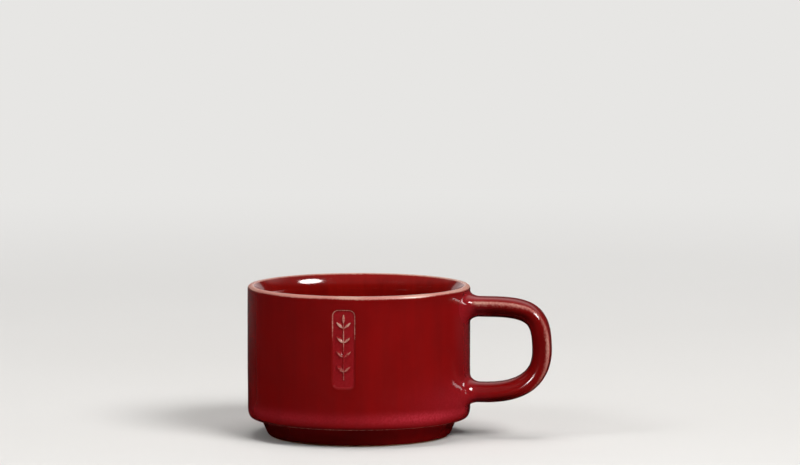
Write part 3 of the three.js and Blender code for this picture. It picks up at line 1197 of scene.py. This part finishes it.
def softLamp(name, angles, size, watts, distance=3.0, diffuse=True, gloss=True, only=()):
    # an elliptic lamp that faces the middle of the cup, and lights all pieces or only some
    middle, place = aroundMug(*angles, distance)
    light = bpy.data.lights.new(name, "AREA")
    light.shape = "ELLIPSE"
    light.size, light.size_y = size
    light.energy = watts
    lamp = bpy.data.objects.new(name, light)
    lamp.location = place
    lamp.rotation_euler = (middle - place).to_track_quat("-Z", "Y").to_euler()
    lamp.visible_diffuse = diffuse
    lamp.visible_glossy = gloss
    scene.collection.objects.link(lamp)
    if only:
        lit = bpy.data.collections.new(name + "_lights")
        for piece in only:
            lit.objects.link(bpy.data.objects[piece])
        lamp.light_linking.receiver_collection = lit


collars = ("upper_slip_collar", "lower_slip_collar")
strapOnly = ("handle_glaze_coat",)
linerOnly = ("liner_glaze_coat",)
outsides = ("outer_glaze_coat", *strapOnly, *collars)

soft = {"gloss": False}    # lights its pieces and makes no highlight
shine = {"diffuse": False}    # makes a highlight and no more

# Azimuth and elevation of each lamp, its size and distance in metres, and what it lights
lamps = {
    "key_lamp": dict(angles=(50, 40), size=(1.6, 1.2), watts=82.0, **soft),
    "key_gloss": dict(angles=(78, 39), size=(1.4, 1.0), watts=90.0, **shine),
    "left_lamp": dict(angles=(-45, 38), size=(1.2, 0.9), watts=22.0, **soft),
    "top_lamp": dict(angles=(0, 88), size=(2.0, 2.0), watts=38.0, **soft),
    "rear_lamp": dict(angles=(190, 14), size=(1.2, 0.8), watts=45.0, only=outsides, **soft),
    "right_card": dict(angles=(112, 4), size=(1.4, 0.36), watts=11.0, distance=2.0, only=collars, **shine),
    "low_card": dict(angles=(-20, 4), size=(0.3, 0.12), watts=5.0, distance=2.0, only=strapOnly, **shine),
    "back_card": dict(angles=(194, 9), size=(2.4, 0.7), watts=2.8, distance=1.5, only=linerOnly, **shine),
    "mouth_lamp": dict(angles=(-80, 20), size=(1.0, 0.8), watts=22.0, only=linerOnly, **soft),
}

paleSweep()
worldLight()
for name, lamp in lamps.items():
    softLamp(name, **lamp)

view = {
    "azimuth": 10.5,
    "distance": 1907 * mm,
    "height": 272.3 * mm,
    "target": 30 * mm,
    "imageWidth": 800.0,
    "imageHeight": 465.0,
    "targetPixel": (358.86, 360.6),
    "focalPixels": 4750.0,
    "sensor": 36.0,
    "clipEnd": 100.0,
}


def levelView(ahead):
    # the ways ahead, right and up of a camera that is held level
    ahead = ahead.normalized()
    right = ahead.cross(Vector((0, 0, 1))).normalized()
    return ahead, right, right.cross(ahead)


def photoCamera():
    # the target on the cup's axis falls on its pixel: the view turns right and up by that offset
    turn = math.radians(view["azimuth"])
    out = view["distance"]
    place = Vector((axisX + out * math.sin(turn), -out * math.cos(turn), view["height"]))
    ahead, right, rise = levelView(Vector((axisX, 0.0, view["target"])) - place)
    pixelAcross, pixelDown = view["targetPixel"]
    offRight = (view["imageWidth"] / 2 - pixelAcross) / view["focalPixels"]
    offUp = (pixelDown - view["imageHeight"] / 2) / view["focalPixels"]
    ahead, right, rise = levelView(ahead + right * offRight + rise * offUp)
    lens = bpy.data.cameras.new("photo_camera")
    lens.sensor_fit = "HORIZONTAL"
    lens.sensor_width = view["sensor"]
    lens.lens = view["focalPixels"] * view["sensor"] / view["imageWidth"]
    lens.clip_end = view["clipEnd"]
    camera = bpy.data.objects.new("photo_camera", lens)
    facing = Matrix((right, rise, -ahead)).transposed().to_4x4()
    camera.matrix_world = Matrix.Translation(place) @ facing
    scene.collection.objects.link(camera)
    scene.camera = camera


photoCamera()
scene.view_settings.view_transform = "Standard"
print("set the stage, lamps and camera")
